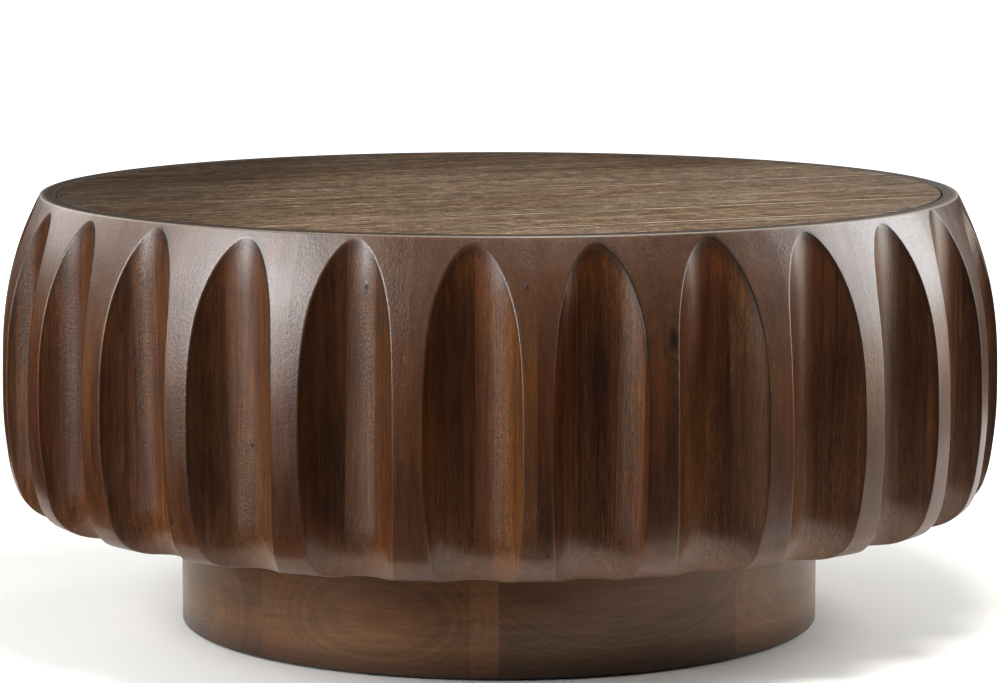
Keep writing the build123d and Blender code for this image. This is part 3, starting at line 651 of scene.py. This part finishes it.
# the plinth: the grain runs along each segment, so the turned face cuts the rings into ovals
plinth_mat, g = material("plinth_wood")
depth, across, along = g.parts(g.attr("wood_co", 1))
tone0, low, far = g.parts(g.attr("tone", 1))
w = wood(g, depth, across, along, g.attr("ident"), ring=0.0030, slope=0.05, waver=0.010, centre=(far, low), thin=0.15)
r1, r2, r3 = w["dice"]
# one segment is pieced out with a narrow redder strip
strip = g.mul(g.math("COMPARE", g.attr("ident"), 47.0, 0.3), g.math("GREATER_THAN", along, 0.0975))
tone = blend(g, w, g.madd(strip, 0.12, tone0), rings=0.28, blotch=0.40, streak=0.24, fibre=0.32, grain=0.10)
red = g.ramp(tone, [(0.0, (0.0231, 0.00725, 0.00208)), (0.30, (0.0721, 0.025, 0.00673)), (0.52, (0.144, 0.0525, 0.0147)),
                    (0.75, (0.224, 0.0925, 0.0269)), (1.0, (0.346, 0.163, 0.0508))])
tan = g.ramp(tone, [(0.0, (0.025, 0.00854, 0.00171)), (0.30, (0.0834, 0.0311, 0.00643)), (0.52, (0.17, 0.0671, 0.0144)),
                    (0.75, (0.264, 0.117, 0.0269)), (1.0, (0.403, 0.201, 0.0526))])
olive = g.ramp(tone, [(0.0, (0.0179, 0.00813, 0.00239)), (0.30, (0.0597, 0.0269, 0.00762)), (0.52, (0.119, 0.0563, 0.0162)),
                      (0.75, (0.194, 0.1, 0.0305)), (1.0, (0.314, 0.175, 0.0583))])
colour = g.mix(g.step(g.add(w["hue"], g.mul(g.sub(r3, 0.5), 0.20)), 0.42, 0.60, 0.0, 0.9), red, tan)
colour = g.mix(g.step(w["slow"], 0.50, 0.66, 0.0, 0.8), colour, olive)
colour = g.mix(g.mul(strip, 0.6), colour, red)
colour = g.mix(0.30, colour, olive)
colour = g.mix(g.mul(w["pore"], 0.16), colour, (0.014, 0.006, 0.0035, 1))
# painted shadow: the bottom ease is darkened where the plinth meets the floor
colour = g.mix(g.mul(g.attr("edge"), 0.92), colour, (0.006, 0.003, 0.002, 1))
peel = g.noise(g.vec(depth, across, along), 430.0, 2.0, 0.6)
plane = g.noise(g.vec(depth, across, along), 26.0, 1.0)
height = g.madd(w["fibre"], 0.00009, g.mul(w["pore"], -0.00006))
height = g.madd(peel, 0.00012, height)
height = g.madd(plane, 0.0005, height)
normal = g.bump(height, 1.0)
rough = g.madd(g.sub(w["streak"], 0.5), 0.10, g.madd(w["pore"], 0.12, 0.44))
g.finish(colour, rough, normal, Specular_IOR_Level=0.36, Coat_Weight=0.46, Coat_Roughness=0.17, Coat_IOR=1.5)
for ob in plinth:
    ob.data.materials.append(plinth_mat)

# the top: greyed brown planks, open pored, almost matte
top_mat, g = material("top_wood")
x, y, z = g.parts(g.node("ShaderNodeTexCoord", out=3))
turn = math.radians(24.0)
u = g.add(g.mul(x, math.cos(turn)), g.mul(y, math.sin(turn)))
v = g.sub(g.mul(y, math.cos(turn)), g.mul(x, math.sin(turn)))
lane = g.math("FLOOR", g.math("DIVIDE", g.add(v, 0.002), 0.118))
key = g.add(lane, 80.0)
across = g.sub(v, g.madd(lane, 0.118, 0.057))
w = wood(g, g.sub(z, 0.43), across, u, key, ring=0.0085, slope=0.02, waver=0.020, pith=0.03, stretch=0.8)
r1, r2, r3 = w["dice"]
sway = g.madd(g.sub(w["slow"], 0.5), 0.010, across)
jump = g.vec(g.mul(r1, 19.0), g.mul(r2, 43.0), key)


def stretched(a, b, seed, detail, rough=0.6):
    """Noise with a features per metre across the planks and b along them."""
    return g.noise(g.shift(g.vec(g.mul(sway, a), g.mul(u, b), seed), jump), detail=detail, rough=rough)


coarse = stretched(75.0, 2.6, 0.0, 3.0)
bar = stretched(105.0, 24.0, 5.0, 2.0)
fleck = stretched(230.0, 62.0, 3.0, 2.0)
grit = stretched(520.0, 240.0, 9.0, 2.0)
cell = g.cells(g.shift(g.vec(g.mul(sway, 130.0), g.mul(u, 24.0), 7.0), jump))
furrow = g.mul(g.step(cell, 0.36, 0.12), g.step(w["hue"], 0.38, 0.58, 0.3, 1.0))
# painted shade: the top is painted darker and browner at the left, at the back and at the back right, as the light
# falls across it; at the back right it is also less specular
painted_shade_left_back = g.add(g.step(x, -0.12, -0.36, 0.0, 0.70), g.step(v, 0.04, 0.32, 0.0, 0.60))
dimmed_back_right = g.mul(g.step(x, 0.05, 0.20), g.step(v, 0.08, 0.18))
painted_shade_left_back = g.madd(dimmed_back_right, 0.30, painted_shade_left_back)
tone = blend(g, {**w, "coarse": coarse, "fleck": fleck, "bar": bar, "grit": grit},
             g.madd(painted_shade_left_back, -0.04, g.madd(g.sub(r2, 0.5), 0.08, 0.54)),
             rings=0.20, blotch=0.26, streak=0.16, fibre=0.20, coarse=0.85, bar=0.55, fleck=1.05, grit=1.2)
grey = g.ramp(tone, [(0.0, (0.022, 0.0135, 0.0080)), (0.30, (0.058, 0.0380, 0.0235)), (0.52, (0.118, 0.0800, 0.0500)),
                     (0.75, (0.205, 0.148, 0.098)), (1.0, (0.36, 0.275, 0.195))])
brown = g.ramp(tone, [(0.0, (0.022, 0.0120, 0.0062)), (0.30, (0.060, 0.0345, 0.0190)), (0.52, (0.120, 0.0735, 0.0405)),
                      (0.75, (0.205, 0.135, 0.080)), (1.0, (0.36, 0.25, 0.165))])
colour = g.mix(g.step(w["hue"], 0.40, 0.60), grey, brown)
# painted shade: darkens the colour at the left and at the back
colour = g.mix(g.math("MINIMUM", painted_shade_left_back, 1.0), colour, (0.44, 0.38, 0.34, 1), "MULTIPLY")
colour = g.mix(g.mul(furrow, 0.72), colour, (0.018, 0.0108, 0.0065, 1))
colour = g.mix(g.mul(w["pore"], 0.40), colour, (0.018, 0.0108, 0.0065, 1))
# pale specks where the grain stands proud, and the rubbed edges of three of the joints
speck = g.cells(g.shift(g.vec(g.mul(sway, 170.0), g.mul(u, 38.0), 11.0), jump))
clump = g.noise(g.shift(g.vec(g.mul(across, 14.0), g.mul(u, 5.0), 2.0), jump), detail=2.0)
# the pale specks fade where the top is painted in shade
colour = g.mix(g.mul(g.step(speck, 0.30, 0.08), g.mul(g.step(clump, 0.42, 0.62, 0.12, 0.70), g.sub(1.0, painted_shade_left_back))), colour, (0.34, 0.265, 0.19, 1))
seam = g.math("ROUND", g.math("DIVIDE", g.add(v, 0.002), 0.118))
opened = g.add(g.math("COMPARE", seam, -3.0, 0.2), g.math("COMPARE", seam, -2.0, 0.2))
opened = g.mul(opened, g.step(x, -0.12, 0.08, 0.10, 1.0))
opened = g.madd(g.math("COMPARE", seam, 0.0, 0.2), g.add(g.step(x, -0.30, -0.20, 0.0, 0.45), g.step(x, 0.02, 0.10, 0.0, 0.50)), opened)
near = g.sub(v, g.madd(seam, 0.118, -0.002))
ragged = g.noise(g.vec(g.mul(u, 11.0), g.mul(seam, 7.3), 0.0), detail=3.0)
rub = g.mul(g.bell(g.madd(g.sub(ragged, 0.5), 0.010, g.add(near, 0.0045)), 0.0028), g.step(ragged, 0.34, 0.54, 0.30, 1.0))
colour = g.mix(g.mul(rub, g.madd(opened, 0.76, 0.04)), colour, (0.40, 0.32, 0.235, 1))
dark = g.mul(g.bell(g.sub(near, 0.0016), 0.0030), g.madd(opened, 0.66, 0.12))
dark = g.math("MAXIMUM", dark, g.step(g.hypot(x, y), 0.4398, 0.4422, 0.0, 0.90))
colour = g.mix(dark, colour, (0.014, 0.0088, 0.0055, 1))
height = g.madd(w["fibre"], 0.00020, g.mul(furrow, -0.00045))
height = g.madd(w["pore"], -0.00016, height)
height = g.madd(coarse, 0.00060, height)
height = g.madd(bar, 0.00035, height)
height = g.madd(fleck, 0.00045, height)
height = g.madd(grit, 0.00025, height)
normal = g.bump(height, 1.0)
rough = g.madd(g.sub(fleck, 0.5), 0.25, g.madd(furrow, 0.15, 0.54))
g.finish(colour, rough, normal, Specular_IOR_Level=g.madd(dimmed_back_right, -0.10, 0.24))

# plywood: a face veneer, and plies at the edges
ply_mat, g = material("plywood")
x, y, z = g.parts(g.node("ShaderNodeTexCoord", out=3))
nx, ny, nz = g.parts(g.node("ShaderNodeNewGeometry", out=1))
w = wood(g, z, y, x, 7.0, ring=0.011, slope=0.02, waver=0.03, pith=0.03)
ply = g.math("FRACT", g.math("DIVIDE", z, 0.0028))
light = g.step(ply, 0.46, 0.54)
band = g.ramp(g.add(g.mul(light, 0.6), g.mul(w["fibre"], 0.4)),
              [(0.0, (0.030, 0.014, 0.008)), (1.0, (0.21, 0.125, 0.07))])
tone = g.add(g.mul(w["rings"], 0.5), g.add(g.mul(w["blotch"], 0.3), g.mul(w["fibre"], 0.3)))
face = g.ramp(tone, [(0.15, (0.035, 0.016, 0.009)), (0.55, (0.085, 0.042, 0.023)), (0.95, (0.17, 0.095, 0.055))])
face = g.mix(g.mul(w["pore"], 0.4), face, (0.02, 0.010, 0.006, 1))
side = g.step(g.math("ABSOLUTE", nz), 0.7, 0.3)
colour = g.mix(side, face, band)
normal = g.bump(g.add(g.mul(w["fibre"], 0.00015), g.mul(w["pore"], -0.0002)), 1.0)
g.finish(colour, g.madd(w["fibre"], 0.15, 0.52), normal, Specular_IOR_Level=0.35)

# bare softwood inside
inner_mat, g = material("inner_wood")
x, y, z = g.parts(g.node("ShaderNodeTexCoord", out=3))
w = wood(g, x, y, z, 3.0, ring=0.004, slope=0.02, waver=0.01)
tone = g.add(g.mul(w["rings"], 0.55), g.add(g.mul(w["blotch"], 0.25), g.mul(w["fibre"], 0.25)))
colour = g.ramp(tone, [(0.2, (0.26, 0.14, 0.065)), (0.55, (0.48, 0.31, 0.17)), (0.9, (0.66, 0.48, 0.30))])
normal = g.bump(g.mul(w["fibre"], 0.0002), 1.0)
g.finish(colour, g.madd(w["fibre"], 0.15, 0.55), normal, Specular_IOR_Level=0.35)


def plated(name, tint, worn):
    m, g = material(name)
    co = g.node("ShaderNodeTexCoord", out=3)
    cloud = g.noise(co, 240.0, 3.0, 0.6)
    grit = g.noise(co, 2600.0, 2.0, 0.6)
    f = g.add(g.mul(cloud, 0.7), g.mul(grit, 0.3))
    colour = g.ramp(f, [(0.3, worn), (0.7, tint)])
    normal = g.bump(g.mul(grit, 0.00004), 1.0)
    g.finish(colour, g.madd(cloud, 0.22, 0.24), normal, Metallic=1.0)
    return m


screw_mat = plated("zinc_screws", (0.66, 0.62, 0.50), (0.40, 0.37, 0.30))
bolt_mat = plated("zinc_bolts", (0.64, 0.65, 0.66), (0.38, 0.38, 0.39))

felt_mat, g = material("felt")
co = g.node("ShaderNodeTexCoord", out=3)
fuzz = g.noise(co, 900.0, 4.0, 0.7, 1.5)
lump = g.noise(co, 130.0, 2.0)
colour = g.ramp(g.add(g.mul(fuzz, 0.7), g.mul(lump, 0.3)), [(0.3, (0.012, 0.010, 0.009)), (0.7, (0.050, 0.043, 0.038))])
g.finish(colour, 0.95, g.bump(g.mul(fuzz, 0.0006), 1.0), Sheen_Weight=0.4, Sheen_Roughness=0.5,
         Specular_IOR_Level=0.2)

FINISH = {"top_plank": top_mat, "top_substrate": ply_mat, "bottom_panel": ply_mat, "plinth_plate": ply_mat,
          "upper_corner": inner_mat, "lower_corner": inner_mat, "stave_tongues": inner_mat,
          "plinth_dowels": inner_mat, "corner_block_screws": screw_mat, "top_fixing": screw_mat,
          "bottom_panel_screws": screw_mat, "plank_screws": screw_mat, "plinth_plate_screws": screw_mat,
          "mounting_bolts": bolt_mat, "mounting_washers": bolt_mat, "tee_nuts": bolt_mat, "felt_pads": felt_mat}
for name, ob in nodes.items():
    if ob.hide_render:
        continue
    start = max((k for k in FINISH if name.startswith(k)), key=len)
    ob.data.materials.clear()
    ob.data.materials.append(FINISH[start])

# ================================================================ studio
# A pale floor. Near the table it is lit by the lamps; farther out it glows too, so that it doesn't fall off to grey.
floor_mat, g = material("studio_floor")
spot = g.node("ShaderNodeTexCoord", out=3)
speck = g.noise(spot, 3.0, 3.0)
far = g.node("ShaderNodeVectorMath", (spot,), out=1, operation="LENGTH")
g.finish(g.ramp(speck, [(0.3, (0.885, 0.850, 0.812)), (0.7, (0.905, 0.870, 0.832))]), 0.9, Specular_IOR_Level=0.1,
         Emission_Color=(1, 1, 1, 1), Emission_Strength=g.step(far, 1.2, 4.5, 0.0, 0.95))
for part in (floor, apron, backdrop):
    part.data.materials.append(floor_mat)
apron.visible_glossy = backdrop.visible_glossy = backdrop.visible_diffuse = False

world = bpy.data.worlds.new("studio")
scene.world = world
world.use_nodes = True
g = Graph(world.node_tree)
dx, dy, dz = g.parts(g.node("ShaderNodeTexCoord", out=0))
seen = g.node("ShaderNodeLightPath", out=0)
strength = g.add(seen, g.mul(g.sub(1.0, seen), g.step(dz, 0.1, 0.9, 0.02, 0.10)))
back = g.node("ShaderNodeBackground", ((1, 1, 1, 1), strength))
world_out = world.node_tree.nodes.new("ShaderNodeOutputWorld")
world.node_tree.links.new(back, world_out.inputs[0])


def softbox(name, azimuth, elevation, wide, high, radiance, distance=5.0, colour=(1, 1, 1)):
    """A rectangular lamp that spans wide by high degrees. Azimuth 0 is in front of the table, positive to the right."""
    a, e = math.radians(azimuth), math.radians(elevation)
    light = bpy.data.lights.new(name, "AREA")
    light.shape = "RECTANGLE"
    light.size, light.size_y = (2 * distance * math.tan(math.radians(k / 2)) for k in (wide, high))
    light.energy = radiance * math.pi * light.size * light.size_y
    light.color = colour
    ob = bpy.data.objects.new(name, light)
    target = Vector((0, 0, 0.25))
    where = target + distance * Vector((math.sin(a) * math.cos(e), -math.cos(a) * math.cos(e), math.sin(e)))
    ob.location = where
    ob.rotation_euler = (where - target).to_track_quat("Z", "Y").to_euler()
    ob.visible_camera = False
    scene.collection.objects.link(ob)
    return ob


COOL = (0.94, 1.0, 1.035)
softbox("left_high", -61.5, 33, 40, 23, 8.6, colour=COOL)
softbox("left_low", -60, 10, 40, 23, 3.6, colour=COOL)
softbox("left_core", -59, 18, 15, 29, 11.8, colour=COOL)
softbox("left_back", -95, 33, 26, 23, 2.0, colour=COOL)
softbox("left_rear", -132, 24, 36, 28, 3.6)
softbox("right_tall", 102, 26.0, 40, 38, 8.0, distance=3.2, colour=COOL)
softbox("right_low", 93, 1.5, 32, 13, 4.0, distance=2.2, colour=(1.0, 0.97, 0.86))
softbox("back", 158, 33, 20, 23, 2.4)
softbox("front_top", 20, 61, 20, 18, 24.0, distance=1.8)
